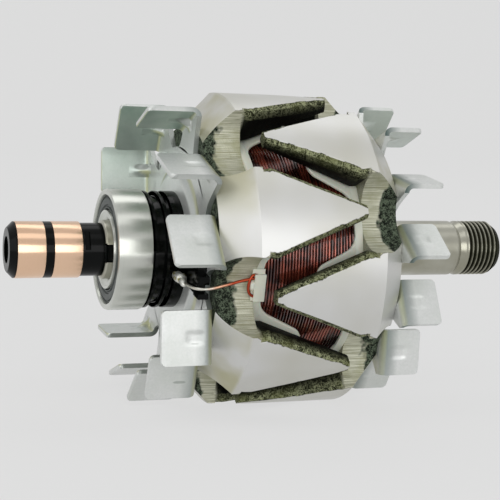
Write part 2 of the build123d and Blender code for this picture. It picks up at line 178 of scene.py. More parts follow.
def sheet_grid():
    """Sheet on the floor that turns up behind the rotor through a quarter circle."""
    bend = np.linspace(0, pi / 2, 25)
    y = np.concatenate([[SHEET_FRONT_Y], SHEET_BEND_Y + SHEET_BEND_R * np.sin(bend),
                        [SHEET_BEND_Y + SHEET_BEND_R]])
    z = np.concatenate([[0], SHEET_BEND_R * (1 - np.cos(bend)), [SHEET_TOP_Z]]) + FLOOR_Z
    x = np.array([-SHEET_HALF_WIDTH, SHEET_HALF_WIDTH])
    return np.stack([np.repeat(x[:, None], len(y), 1), np.tile(y, (2, 1)), np.tile(z, (2, 1))],
                    axis=-1) * 1000


def panel(name, azimuth, elevation, spread, width, watts):
    """Soft rectangular lamp PANEL_DISTANCE from the rotor and facing it. Azimuth runs from the
    front towards the slip rings, and its height is spread degrees of the sky."""
    a, e = radians(azimuth), radians(elevation)
    place = Vector((-sin(a) * cos(e), -cos(a) * cos(e), sin(e))) * PANEL_DISTANCE
    lamp = bpy.data.lights.new(name, "AREA")
    lamp.shape = "RECTANGLE"
    lamp.size = width
    lamp.size_y = 2 * PANEL_DISTANCE * sin(radians(spread / 2))
    lamp.energy = watts
    obj = bpy.data.objects.new(name, lamp)
    obj.location = place
    obj.rotation_euler = (-place).to_track_quat("-Z", "Y").to_euler()
    bpy.context.scene.collection.objects.link(obj)


def tent_world():
    """Even dim tent all round, in which lens, metal and glass see the sheet's tone."""
    world = bpy.data.worlds.new("light_tent")
    world.use_nodes = True
    tree = world.node_tree
    tree.nodes.clear()
    fill = add(tree, "Background", {"Color": linear("#F4F6F6"), "Strength": TENT_FILL})
    even = add(tree, "Background", {"Color": linear(PALE), "Strength": 1.0})
    mix = add(tree, "MixShader", (sees_backdrop(tree), fill, even))
    add(tree, "OutputWorld", {"Surface": mix})
    return world


def aim_camera():
    """Camera DISTANCE from TARGET. Forward is (sin turn, cos turn cos tilt, -cos turn sin tilt)."""
    forward = Vector((sin(TURN), cos(TURN) * cos(TILT), -cos(TURN) * sin(TILT)))
    right = Vector((cos(TURN), -sin(TURN) * cos(TILT), sin(TURN) * sin(TILT)))
    up = Vector((0, sin(TILT), cos(TILT)))
    side = right * cos(ROLL) - up * sin(ROLL)
    top = up * cos(ROLL) + right * sin(ROLL)
    lens = bpy.data.cameras.new("camera")
    lens.sensor_width = SENSOR_MM
    lens.lens = SENSOR_MM * FOCAL_SHARE
    lens.shift_y = SHIFT_Y
    lens.clip_start = NEAREST
    lens.clip_end = FARTHEST
    obj = bpy.data.objects.new("camera", lens)
    place = Vector(TARGET) - forward * DISTANCE
    turn = Matrix((side, top, -forward)).transposed().to_4x4()
    obj.matrix_world = Matrix.Translation(place) @ turn
    bpy.context.scene.collection.objects.link(obj)
    return obj


scene = bpy.context.scene
scene.camera = aim_camera()
scene.world = tent_world()
scene.view_settings.view_transform = "Standard"
sheet = piece("paper_sheet", [(sheet_grid(), False, False)], sharp=60, outward=False)
sheet.data.materials.append(paper_material())
for name, setting in PANELS.items():
    panel(name, *setting)


# Shaft: a turned steel bar with the bearing seat, two lead grooves, the drive journal, a neck
# groove and the pulley nut's thread, 17 x 1.5, cut last. Fine tool marks run round it. All
# sizes from here on are in millimetres, and a profile is a list of (x, radius).
SHAFT_PROFILE = [(-75.2, 0), (-75.2, 5.0), (-59.0, 5.0), (-59.0, 5.6), (-51.2, 5.6), (-51.2, 8.0),
                 (-50.7, 8.5), (-40.0, 8.5), (-31.0, 8.5), (-30.9, 8.5), (-27.0, 8.5),
                 (-27.0, 10.0), (30.4, 10.0), (30.4, 8.5), (60.7, 8.5), (62.0, 7.65), (63.3, 8.5)]
GROOVE_START = -51.3
GROOVE_END = -30.95
GROOVE_FLOOR_R = 5.6
GROOVE_HALF_WIDTH = 2.5
THREAD_PITCH = 1.5
THREAD_DEPTH = 0.85
THREAD_FLANK = 1.25
THREAD_CREST = 0.12
THREAD_R = 8.5
THREAD_START = 63.9
THREAD_RUNOUT = 1.2
THREAD_STEP = 0.1
SHAFT_END = 76.1
END_CHAMFER = (2.3, 1.6)
CENTRE_HOLE = (2.0, 0.3, 3.5)
SHAFT_SEGMENTS = 144
EDGE = 0.18


def eased(profile, size, steps=2):
    """Profile with each corner replaced by points of the curve (1-t)^2 before + 2t(1-t) corner
    + t^2 after, that starts and ends at most size from the corner."""
    result = [profile[0]]
    for before, corner, after in zip(profile, profile[1:], profile[2:]):
        b, c, a = (np.array(p, float) for p in (before, corner, after))
        p = c + (b - c) * min(size / max(np.linalg.norm(b - c), 1e-9), 0.4)
        q = c + (a - c) * min(size / max(np.linalg.norm(a - c), 1e-9), 0.4)
        result += [tuple((1 - t) ** 2 * p + 2 * t * (1 - t) * c + t ** 2 * q)
                   for t in np.linspace(0, 1, steps + 1)]
    return result + [profile[-1]]


def ring_profile(profile, size):
    """Closed profile with all its corners eased."""
    return eased([profile[-1]] + list(profile) + [profile[0]], size)[1:-1]


def turned(x, r, angle):
    """Points at station x, distance r from the shaft's axis and angle a in radians, which is 0
    at the near side and grows upwards: (x, -r cos a, r sin a)."""
    return np.stack(np.broadcast_arrays(x, -r * np.cos(angle), r * np.sin(angle)), axis=-1)


def lathe(profile, segments=180):
    """Profile carried round the shaft in equal steps."""
    outline = np.array(profile, float)
    angle = np.linspace(0, tau, segments, endpoint=False)[:, None]
    return turned(outline[None, :, 0], outline[None, :, 1], angle)


def surface_material(name, **sockets):
    """Material with one Principled shader, whose constant sockets are given by name."""
    material = bpy.data.materials.new(name)
    material.use_nodes = True
    tree = material.node_tree
    shader = tree.nodes["Principled BSDF"]
    plug(tree, shader, {socket.replace("_", " "): value for socket, value in sockets.items()})
    return material, tree, shader


def about_axis(tree):
    """Coordinates, distance from the shaft's axis, and how far the surface faces away from the
    axis: the product of its normal and the unit vector from the axis."""
    where = add(tree, "TexCoord").outputs
    axes = add(tree, "SeparateXYZ", (where["Object"],)).outputs
    side = add(tree, "CombineXYZ", {"Y": axes["Y"], "Z": axes["Z"]})
    radius = add(tree, "VectorMath", (side,), operation="LENGTH").outputs["Value"]
    outward = add(tree, "VectorMath", (side,), operation="NORMALIZE")
    facing = add(tree, "VectorMath", (where["Normal"], outward), operation="DOT_PRODUCT")
    return where, axes, radius, facing.outputs["Value"]


def dress(obj, body, material, slot, *replaced):
    """Finish a piece: its material, the body it rides on and the nodes it stands for. The slot is not
    used.
    """
    obj.data.materials.clear()
    obj.data.materials.append(material)
    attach(obj, body)
    if replaced:
        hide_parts(*replaced)
    return obj


def grooved(grid):
    """The turned grid with a flat-sided groove on the near and the far side. Points that are less
    than the groove's half width from the middle plane move to its floor, spread over its width."""
    x, y, z = (grid[..., i].copy() for i in range(3))
    r = np.hypot(y, z)
    cut = ((x > GROOVE_START) & (x < GROOVE_END) & (r > GROOVE_FLOOR_R + 0.1)
           & (np.abs(z) < GROOVE_HALF_WIDTH))
    z[cut] *= GROOVE_HALF_WIDTH / np.abs(z[cut]).max()
    y[cut] = np.sign(y[cut]) * np.sqrt(GROOVE_FLOOR_R ** 2 - z[cut] ** 2)
    return np.stack([x, y, z], axis=-1)


def shaft_grid():
    """The turned profile, then rows across the thread, and at last the end. The thread's radius
    falls from the crest by depth * (flank * (1 - |2 phase - 1|) - crest), clipped to 0 and 1,
    with phase = x / pitch - a / tau."""
    end_length, end_drop = END_CHAMFER
    hole_r, tip_r, depth = CENTRE_HOLE
    end = [(SHAFT_END, THREAD_R - end_drop), (SHAFT_END, hole_r), (SHAFT_END - depth, tip_r),
           (SHAFT_END - depth, 0)]
    x = np.arange(THREAD_START, SHAFT_END - 0.02, THREAD_STEP)[None, :]
    angle = np.linspace(0, tau, SHAFT_SEGMENTS, endpoint=False)[:, None]
    phase = np.mod(x / THREAD_PITCH - angle / tau, 1.0)
    groove = np.clip(THREAD_FLANK * (1 - np.abs(2 * phase - 1)) - THREAD_CREST, 0, 1)
    runout = np.clip((x - THREAD_START) / THREAD_RUNOUT, 0, 1)
    r = THREAD_R - THREAD_DEPTH * groove * runout
    chamfer = THREAD_R - end_drop * (x - SHAFT_END + end_length) / end_length
    r = np.minimum(r, np.minimum(chamfer, THREAD_R))
    plain = lathe(eased(SHAFT_PROFILE, EDGE), SHAFT_SEGMENTS)
    return np.concatenate([grooved(plain), turned(x, r, angle), lathe(end, SHAFT_SEGMENTS)], axis=1)


def shaft_steel():
    """Turned medium-carbon steel, lightly oiled: tool marks 0.3 mm apart, and a warm grey film in
    patches of 11 mm. It is dark olive in the thread, where the radius is below its crest."""
    material, tree, shader = surface_material("turned_oiled_steel", Metallic=1.0, Anisotropic=0.7,
                                              Anisotropic_Rotation=0.25)
    round_shaft = add(tree, "Tangent", direction_type="RADIAL", axis="X")
    where, axes, radius, _ = about_axis(tree)
    place = where["Object"]
    # Dark olive in the thread's grooves, where the radius is below the crest.
    groove_from, groove_full = (THREAD_START - 0.3) / 1000, (THREAD_START + 0.7) / 1000
    on_thread = add(tree, "MapRange", (axes["X"], groove_from, groove_full))
    low = add(tree, "MapRange", (radius, (THREAD_R - 0.08) / 1000, (THREAD_R - 0.4) / 1000))
    in_groove = add(tree, "Math", (on_thread, low), operation="MULTIPLY")
    across = add(tree, "Mapping", {"Vector": place, "Scale": (3300, 5, 5)})
    lines = add(tree, "TexNoise", {"Vector": across, "Scale": 1.0, "Detail": 3.0})
    patches = add(tree, "TexNoise", {"Vector": place, "Scale": 90.0, "Detail": 3.0})
    film = add(tree, "MapRange", (patches, 0.35, 0.65))
    colour = linear("#B5B4A8")
    for share, tone in ((film, "#9C9A8A"), (in_groove, "#2B2C20")):
        colour = add(tree, "Mix", {0: share, 6: colour, 7: linear(tone)}, data_type="RGBA")
    gloss = add(tree, "MapRange", (in_groove, 0.0, 1.0, 0.3, 0.55))
    relief = add(tree, "Bump", {"Height": lines, "Distance": 0.000002, "Strength": 0.6})
    plug(tree, shader, {"Base Color": colour, "Roughness": gloss, "Normal": relief,
                        "Tangent": round_shaft})
    return material


shaft = piece("shaft_turned", [(shaft_grid(), True, False)])
dress(shaft, "rotor", shaft_steel(), "turned_steel", "shaft")


# Slip-ring moulding: glass-filled black plastic pressed on the shaft's end, with a dished cap,
# the band between the rings, and the neck, whose two bars lead the conductors under the bearing.
NODE_MERGE_DISTANCE = 1e-6
FLAT_ANGLE = 1.0
EDGE_ANGLE = 30.0
MOULDING_EDGE = 0.2


def moulded_plastic(name, colour, roughness, grain=0.4, depth=0.01, **sockets):
    """Moulded plastic: nearly smooth, with the orange peel that the tool leaves, grain mm wide
    and depth mm deep, and a gloss that changes over 8 mm."""
    material, tree, shader = surface_material(name, Base_Color=linear(colour), **sockets)
    place = add(tree, "TexCoord").outputs["Object"]
    peel = add(tree, "TexNoise", {"Vector": place, "Scale": 1000 / grain, "Detail": 2.0})
    wide = add(tree, "TexNoise", {"Vector": place, "Scale": 120.0, "Detail": 2.0})
    gloss = add(tree, "MapRange", (wide, 0.3, 0.7, roughness - 0.05, roughness + 0.07))
    relief = add(tree, "Bump", {"Height": peel, "Distance": depth / 1000, "Strength": 0.5})
    plug(tree, shader, {"Roughness": gloss, "Normal": relief})
    return material


def from_node(node, name, bevel):
    """Copy of a CAD node's mesh with its facets joined up again and its edges rounded by bevel."""
    mesh = nodes[node].data.copy()
    mesh.name = name
    work = bmesh.new()
    work.from_mesh(mesh)
    bmesh.ops.remove_doubles(work, verts=work.verts, dist=NODE_MERGE_DISTANCE)
    bmesh.ops.dissolve_limit(work, angle_limit=radians(FLAT_ANGLE), verts=work.verts,
                             edges=work.edges)
    work.to_mesh(mesh)
    work.free()
    mesh.polygons.foreach_set("use_smooth", np.ones(len(mesh.polygons), bool))
    obj = bpy.data.objects.new(name, mesh)
    bpy.context.scene.collection.objects.link(obj)
    if mesh.has_custom_normals:
        with bpy.context.temp_override(object=obj, active_object=obj):
            bpy.ops.mesh.customdata_custom_splitnormals_clear()
    mesh.set_sharp_from_angle(angle=radians(EDGE_ANGLE))
    rounding = obj.modifiers.new("rounding", "BEVEL")
    rounding.width = bevel / 1000
    rounding.segments = 2
    rounding.limit_method = "ANGLE"
    rounding.angle_limit = radians(EDGE_ANGLE)
    rounding.use_clamp_overlap = True
    rounding.harden_normals = True
    return obj


# Glass-filled polyamide: near black, with a dull sheen from the fibres under its skin.
black_plastic = moulded_plastic("glass_filled_black_polyamide", "#040605", 0.12, depth=0.003,
                                Specular_IOR_Level=0.12)
moulding = from_node("slip_ring_body", "slip_ring_moulding", MOULDING_EDGE)
dress(moulding, "rotor", black_plastic, "black_plastic", "slip_ring_body")


# Slip rings: two copper rings, pressed on the moulding and turned to a fine finish on which the
# brushes run, so they carry hair lines round them.
RING_SPANS = {"slip_ring_outer": (-76.0, -68.0), "slip_ring_inner": (-65.7, -57.6)}
RING_R = 8.1
RING_BORE_R = 6.6
RING_EDGE = 0.3
MARK_DEPTH = 0.0006


def turned_metal(name, colour, shade, roughness, mark, patch, **sockets):
    """Turned or ground metal: marks every mark mm run round the shaft's axis, and smear what it
    reflects along the shaft. Its tone changes in patches, patch of them to a metre."""
    material, tree, shader = surface_material(name, Metallic=1.0, Anisotropic=0.85,
                                              Anisotropic_Rotation=0.25, **sockets)
    place = add(tree, "TexCoord").outputs["Object"]
    round_shaft = add(tree, "Tangent", direction_type="RADIAL", axis="X")
    across = add(tree, "Mapping", {"Vector": place, "Scale": (1000 / mark, 4, 4)})
    lines = add(tree, "TexNoise", {"Vector": across, "Scale": 1.0, "Detail": 3.0})
    patches = add(tree, "TexNoise", {"Vector": place, "Scale": patch, "Detail": 2.0})
    tint = add(tree, "MapRange", (patches, 0.35, 0.65))
    colours = add(tree, "Mix", {0: tint, 6: linear(colour), 7: linear(shade)}, data_type="RGBA")
    gloss = add(tree, "MapRange", (lines, 0.3, 0.7, roughness - 0.03, roughness + 0.04))
    relief = add(tree, "Bump", {"Height": lines, "Distance": MARK_DEPTH / 1000, "Strength": 0.6})
    plug(tree, shader, {"Base Color": colours, "Roughness": gloss, "Normal": relief,
                        "Tangent": round_shaft})
    return material


# Fine-turned copper: warm, satin, with hair lines drawn 0.12 mm apart, coarser than real.
copper = turned_metal("fine_turned_copper", "#EFCBAD", "#E7BF9E", 0.24, mark=0.12, patch=25,
                      Coat_Weight=0.25, Coat_Roughness=0.25)
for node, (x0, x1) in RING_SPANS.items():
    loop = ring_profile([(x0, RING_BORE_R), (x1, RING_BORE_R), (x1, RING_R), (x0, RING_R)], RING_EDGE)
    ring = piece(node + "_copper", [(lathe(loop), True, True)])
    dress(ring, "rotor", copper, "copper_ring", node)


# Ball bearing 17 x 35 x 10: ground chrome steel rings, with a rubber seal pressed into each side
# of the outer ring. The seal is a washer with a rim bead, and a lip that runs on the inner ring.
BEARING_X = (-49.75, -39.75)
BEARING_R = 17.5
BEARING_BORE = 8.5
RIM_R = 15.7
LAND_R = 15.0
INNER_R = 11.4
SEAL_SEAT = 1.4
OUTER_EDGE, INNER_EDGE, SEAL_EDGE = 0.7, 0.2, 0.12
INNER_FACE = [(1.2, BEARING_BORE), (0.3, 9.6), (0.3, 10.45), (0.0, 10.6), (0.0, INNER_R)]
SEAL_PROFILE = [(1.0, 11.72), (0.55, 11.85), (0.55, 12.15), (1.1, 12.3), (1.1, 12.75),
                (0.6, 12.95), (0.6, 14.7), (1.15, 14.9), (1.15, 15.3), (0.8, 15.4), (0.8, 15.68),
                (1.38, 15.68), (1.38, 11.72)]

# Ground chrome steel: cool and bright, its grinding marks drawn 0.1 mm apart, coarser than real.
chrome_steel = turned_metal("ground_chrome_steel", "#CFD1CA", "#C3C6BE", 0.3, mark=0.1, patch=30)
b0, b1 = BEARING_X
outer_loop = ring_profile([(b0, RIM_R), (b0 + SEAL_SEAT, RIM_R), (b0 + SEAL_SEAT, LAND_R),
                           (b1 - SEAL_SEAT, LAND_R), (b1 - SEAL_SEAT, RIM_R), (b1, RIM_R),
                           (b1, BEARING_R), (b0, BEARING_R)], OUTER_EDGE)
outer_race = piece("bearing_outer_race", [(lathe(outer_loop), True, True)])
dress(outer_race, "bearing_outer", chrome_steel, "bearing_steel", "bearing_outer_ring")
inner_loop = ring_profile([(b0 + x, r) for x, r in INNER_FACE[::-1]]
                          + [(b1 - x, r) for x, r in INNER_FACE], INNER_EDGE)
inner_race = piece("bearing_inner_race", [(lathe(inner_loop), True, True)])
dress(inner_race, "rotor", chrome_steel, "bearing_steel", "bearing_inner_ring")
nodes["bearing_balls"].data.materials.clear()
nodes["bearing_balls"].data.materials.append(chrome_steel)

# Nitrile rubber: dull dark grey, moulded with a fine grain.
rubber = moulded_plastic("nitrile_rubber", "#3E4643", 0.42, grain=0.3, depth=0.008)
for node, face_x, sense in (("bearing_seal_front", b0, 1), ("bearing_seal_back", b1, -1)):
    loop = ring_profile([(face_x + sense * x, r) for x, r in SEAL_PROFILE], SEAL_EDGE)
    seal = piece(node + "_rubber", [(lathe(loop), True, True)])
    dress(seal, "bearing_outer", rubber, "seal_rubber", node)


# Lead guide: a black moulded sleeve with ribs, pressed on the shaft behind the bearing, with an
# arm to each lead. The ribbed skin lies over the sleeve between the two arms.
GUIDE_R = 17.03
GUIDE_WAIST_R = 15.43
GUIDE_CORE_R = 13.0
GUIDE_PROFILE = [(-39.2, GUIDE_R), (-38.3, GUIDE_R), (-38.3, GUIDE_WAIST_R),
                 (-35.7, GUIDE_WAIST_R), (-35.7, GUIDE_R), (-34.8, GUIDE_R),
                 (-34.8, GUIDE_WAIST_R), (-33.2, GUIDE_WAIST_R), (-33.2, GUIDE_R), (-30.0, GUIDE_R)]
GUIDE_EDGE, SLEEVE_EDGE = 0.25, 0.2
GUIDE_ARM_ANGLE = 15.0
LEAD_ANGLE = -8.4


def half_sleeve(middle):
    """Ribbed skin between the arms: the profile and, under it, a line at the core's radius,
    carried round from one arm to the other, with all points at the core's radius at the ends."""
    profile = [GUIDE_PROFILE[0]] + GUIDE_PROFILE + [GUIDE_PROFILE[-1]]
    outline = np.array(eased(profile, SLEEVE_EDGE), float)
    x = np.concatenate([outline[:, 0], outline[::-1, 0]])[None, :]
    r = np.concatenate([outline[:, 1], np.full(len(outline), GUIDE_CORE_R)])[None, :]
    reach = 90 - GUIDE_ARM_ANGLE
    steps = np.concatenate([[-reach], np.linspace(-reach, reach, 120), [reach]])
    r = np.repeat(r, len(steps), 0)
    r[0] = r[-1] = GUIDE_CORE_R
    return turned(x, r, np.radians(middle + steps)[:, None])


guide = from_node("lead_guide", "lead_guide_moulding", GUIDE_EDGE)
dress(guide, "rotor", black_plastic, "black_plastic", "lead_guide")
sleeve = piece("lead_guide_sleeve", [(half_sleeve(LEAD_ANGLE + turn), False, True)
                                     for turn in (90, 270)])
dress(sleeve, "rotor", black_plastic, "black_plastic", "lead_guide")


# Claw poles: two hot-forged iron halves. Their outside and shoulders are turned bright after
# assembly; the walls and valleys keep the dark, speckled skin of the forging.
POLE_R = 46.0
SHOULDER_X = 18.3
SHOULDER_SLOPE = 9.0 / 8.7
CLAW_WIDE_X = 13.3
TURNED_HALF_WIDTH = 11.35
TURNED_TAPER = 0.396
REAR_PHASE = 21.6
FRONT_PHASE = -8.4
FORGING_EDGE = 0.35
VALLEY_X = 15.2
DARK_END_X = 15.5
STAIN_HEIGHTS = (14.0, 26.0)


def turned_skin(tree, place, axes, station, distance, phase):
    """Where the lathe reached, and how far inside the turned face's outline a point is, in mm.
    It reached a radius, or a distance from the shoulder's cone, of POLE_R. The outline is
    |r sin f| = half width - taper * (x + wide), with f the angle from the nearest claw's middle,
    and noise of 4 mm moves it in and out by half a millimetre. There is none on the shoulder."""
    behind = add(tree, "Math", (station, -1.0, -SHOULDER_X), operation="MULTIPLY_ADD")
    cone = add(tree, "Math", (behind, SHOULDER_SLOPE, distance), operation="MULTIPLY_ADD")
    reach = add(tree, "Math", (distance, cone), operation="MAXIMUM")
    reached = add(tree, "MapRange", (reach, POLE_R - 0.14, POLE_R - 0.06))
    back = add(tree, "Math", (axes["Y"], -1.0), operation="MULTIPLY")
    angle = add(tree, "Math", (axes["Z"], back), operation="ARCTAN2")
    shifted = add(tree, "Math", (angle, radians(phase)), operation="SUBTRACT")
    folded = add(tree, "Math", (shifted, radians(30), radians(-30)), operation="WRAP")
    sine = add(tree, "Math", (folded,), operation="SINE")
    lateral = add(tree, "Math", (sine, distance), operation="MULTIPLY")
    lateral = add(tree, "Math", (lateral,), operation="ABSOLUTE")
    past = add(tree, "Math", (station, CLAW_WIDE_X), operation="ADD")
    past = add(tree, "Math", (past, 0.0), operation="MAXIMUM")
    half = add(tree, "Math", (past, -TURNED_TAPER, TURNED_HALF_WIDTH), operation="MULTIPLY_ADD")
    inset = add(tree, "Math", (half, lateral), operation="SUBTRACT")
    wave = add(tree, "TexNoise", {"Vector": place, "Scale": 260.0, "Detail": 4.0, "Roughness": 0.65})
    ragged = add(tree, "MapRange", (wave, 0.35, 0.68, -0.4, 0.5))
    margin = add(tree, "Math", (inset, ragged), operation="SUBTRACT")
    on_claw = add(tree, "MapRange", (station, -SHOULDER_X - 2, -SHOULDER_X + 3))
    safe = add(tree, "MapRange", (on_claw, 0.0, 1.0, 3.0, 0.0))
    return reached, add(tree, "Math", (margin, safe), operation="ADD")


def forged_skin(tree, place, station, distance, facing, fleck):
    """Colour of the forging. Walls are dark scale with pale flecks, and painted shade makes them
    nearly black where they face the coil and deep down. Valleys are paler, with flow lines drawn
    0.25 mm apart along the shaft, and darker at their outer end by the fan. Blotches are 9 mm wide."""
    blotch = add(tree, "TexNoise", {"Vector": place, "Scale": 110.0, "Detail": 3.0, "Roughness": 0.6})
    tinge = add(tree, "MapRange", (blotch, 0.48, 0.66, 0.0, 0.6))
    tones = {}
    for part, low, high in (("wall", "#232611", "#A6AA86"), ("under", "#020301", "#14160F"),
                            ("valley_end", "#171C15", "#6B7764")):
        tones[part] = add(tree, "Mix", {0: fleck, 6: linear(low), 7: linear(high)}, data_type="RGBA")
    # Painted shade: the walls turn near black where they face the coil, and darker deep down.
    inward = add(tree, "MapRange", (facing, 0.02, -0.2))
    deep = add(tree, "MapRange", (distance, POLE_R - 0.4, POLE_R - 2.8, 0.0, 0.6))
    along = add(tree, "Mapping", {"Vector": place, "Scale": (110, 4000, 4000)})
    lines = add(tree, "TexNoise", {"Vector": along, "Scale": 1.0, "Detail": 3.0})
    stripe = add(tree, "MapRange", (lines, 0.35, 0.65))
    # The valleys turn darker towards their outer end by the fan.
    drift = add(tree, "Math", (blotch, 13.0, station), operation="MULTIPLY_ADD")
    dark_end = add(tree, "MapRange", (drift, -DARK_END_X, -DARK_END_X - 0.8))
    in_valley = add(tree, "MapRange", (station, -VALLEY_X, -VALLEY_X - 1))
    skin, floor = tones["wall"], linear("#A6A68F")
    for share, tone in ((tinge, linear("#6F7348")), (inward, tones["under"]), (deep, linear("#0C0D08"))):
        skin = add(tree, "Mix", {0: share, 6: skin, 7: tone}, data_type="RGBA")
    for share, tone in ((stripe, linear("#E0E0D0")), (tinge, linear("#A9A986")), (dark_end, tones["valley_end"])):
        floor = add(tree, "Mix", {0: share, 6: floor, 7: tone}, data_type="RGBA")
    return add(tree, "Mix", {0: in_valley, 6: skin, 7: floor}, data_type="RGBA")


def satin_iron(tree, place, axes, station):
    """Colour of the turned faces: clouds of 26 mm, and straw-coloured stains 18 mm wide on the
    shoulders, above and below the height of the shaft."""
    cloud = add(tree, "TexNoise", {"Vector": place, "Scale": 38.0, "Detail": 2.0})
    film = add(tree, "MapRange", (cloud, 0.35, 0.65))
    on_cone = add(tree, "MapRange", (station, 0.1 - SHOULDER_X, -0.6 - SHOULDER_X))
    height = add(tree, "Math", (axes["Z"],), operation="ABSOLUTE")
    away = add(tree, "MapRange", (height, STAIN_HEIGHTS[0] / 1000, STAIN_HEIGHTS[1] / 1000))
    stain = add(tree, "TexNoise", {"Vector": place, "Scale": 55.0, "Detail": 3.0})
    stain = add(tree, "MapRange", (stain, 0.4, 0.58, 0.0, 0.8))
    for limit in (on_cone, away):
        stain = add(tree, "Math", (stain, limit), operation="MULTIPLY")
    colour = linear("#D6D6D4")
    for share, tone in ((film, "#C9C8BF"), (stain, "#B4B18F")):
        colour = add(tree, "Mix", {0: share, 6: colour, 7: linear(tone)}, data_type="RGBA")
    return colour


def forged_iron(name, sense, phase):
    """Low-carbon iron: satin with fine rings where it is turned, and elsewhere rough scale with
    pits of 0.4 mm and flakes of 1.4 mm. A thin dark lip follows the turned faces' edge."""
    material, tree, shader = surface_material(name, Metallic=0.85)
    where, axes, radius, facing = about_axis(tree)
    place = where["Object"]
    station = add(tree, "Math", (axes["X"], sense * 1000.0), operation="MULTIPLY")
    distance = add(tree, "Math", (radius, 1000.0), operation="MULTIPLY")
    reached, margin = turned_skin(tree, place, axes, station, distance, phase)
    inner = add(tree, "MapRange", (margin, 0.0, 0.1))
    bright = add(tree, "Math", (reached, inner), operation="MULTIPLY")
    edge = add(tree, "Math", (margin,), operation="ABSOLUTE")
    lip = add(tree, "MapRange", (edge, 0.05, 0.22, 0.5, 1.0))
    grit = add(tree, "TexNoise", {"Vector": place, "Scale": 2600.0, "Detail": 2.0, "Roughness": 0.6})
    flake = add(tree, "TexNoise", {"Vector": place, "Scale": 700.0, "Detail": 4.0, "Roughness": 0.7})
    lump = add(tree, "Math", (grit, flake), operation="ADD")
    fleck = add(tree, "MapRange", (lump, 0.9, 1.14))
    rough = forged_skin(tree, place, station, distance, facing, fleck)
    satin = satin_iron(tree, place, axes, station)
    colour = add(tree, "Mix", {0: bright, 6: rough, 7: satin}, data_type="RGBA")
    colour = add(tree, "Mix", {0: reached, 6: colour, 7: lip}, data_type="RGBA", blend_type="MULTIPLY")
    gloss = add(tree, "MapRange", (bright, 0.0, 1.0, 0.7, 0.4))
    marks = add(tree, "Mapping", {"Vector": place, "Scale": (2500, 8, 8)})
    rings = add(tree, "TexNoise", {"Vector": marks, "Scale": 1.0, "Detail": 2.0})
    fine = add(tree, "Bump", {"Height": rings, "Distance": 0.000003, "Strength": 0.5})
    unturned = add(tree, "MapRange", (bright, 0.0, 1.0, 1.0, 0.0))
    height = add(tree, "Math", (lump, unturned), operation="MULTIPLY")
    relief = add(tree, "Bump", {"Height": height, "Distance": 0.00016, "Strength": 0.7, "Normal": fine})
    plug(tree, shader, {"Base Color": colour, "Roughness": gloss, "Normal": relief})
    return material


for node, sense, phase in (("rear_claw_pole", 1, REAR_PHASE), ("front_claw_pole", -1, FRONT_PHASE)):
    forging = from_node(node, node + "_forging", FORGING_EDGE)
    dress(forging, "rotor", forged_iron(node + "_iron", sense, phase), "forged_iron", node)


# Bobbin: a thin spool moulded in cream polyamide, that insulates the coil. A tapered petal rises
# from its rim under every claw, and a block by the rim holds each end of the coil.
DISC_INNER_X = 16.0
BOBBIN_BORE_R = 21.2
FLANGE_R = 35.0
FLANGE_THICKNESS = 1.0
COIL_R = 34.0
COIL_BORE = 22.3
PETAL_ROOT_X = 13.6
PETAL_ROOT_HALF = 10.8
PETAL_SLOPE = 0.36
PETAL_TIP_X = -0.8
PETAL_TIP_R = 38.4
PETAL_EDGE_R = 0.4
PETAL_CORNER_R = 2.2
PETAL_FLARE = 3.0
SPOOL_EDGE, BLOCK_EDGE = 0.25, 0.3


def polar(x, angle, r):
    """Point at station x, angle in degrees and distance r from the axis."""
    return turned(x, r, np.radians(angle)).astype(float)


def petal_grid(sense, phase):
    """Section loops along the shaft. The half width falls in a line from root to tip, flares in a
    quarter circle at the root and is rounded at the tip. The top rises in a line to the tip. Each
    loop is a flat strip with round edges, laid along the circle: angle = phase + s / r."""
    tip_x = PETAL_TIP_X - PETAL_CORNER_R * (1 - np.sin(np.linspace(0.1, pi / 2, 7)))
    x = np.concatenate([np.linspace(-14.3, -13.6, 3), np.linspace(-13.2, -11.0, 7),
                        np.linspace(-9.5, -3.6, 6), tip_x, [PETAL_TIP_X]])
    half = PETAL_ROOT_HALF - PETAL_SLOPE * (x + PETAL_ROOT_X)
    root = np.clip(1 - (x + PETAL_ROOT_X) / PETAL_FLARE, 0, 1)
    tip = np.clip(1 - (PETAL_TIP_X - x) / PETAL_CORNER_R, 0, 1)
    half = (half + PETAL_FLARE * (1 - np.sqrt(1 - root ** 2))
            - PETAL_CORNER_R * (1 - np.sqrt(1 - tip ** 2)))
    top = FLANGE_R + (PETAL_TIP_R - FLANGE_R) * (x + PETAL_ROOT_X) / (PETAL_TIP_X + PETAL_ROOT_X)
    b = np.linspace(0, pi / 2, 4)
    rise = np.concatenate([1 - PETAL_EDGE_R * (1 - np.cos(b)), PETAL_EDGE_R * (1 - np.sin(b))])
    bulge = np.concatenate([np.sin(b), np.cos(b)])
    f = np.linspace(-1, 1, 9)[1:-1]
    across = np.concatenate([f, np.ones(8), f[::-1], -np.ones(8)])
    outset = np.concatenate([0 * f, bulge, 0 * f, -bulge[::-1]])
    height = np.concatenate([0 * f + 1, rise, 0 * f, rise[::-1]])
    flat = np.ones_like(x)
    flat[-1] = 0.0
    s = (half - PETAL_EDGE_R)[:, None] * across + PETAL_EDGE_R * outset
    r = top[:, None] - FLANGE_THICKNESS * (1 - 0.5 - flat[:, None] * (height - 0.5))
    return polar(sense * x[:, None], phase + np.degrees(s / r), r)


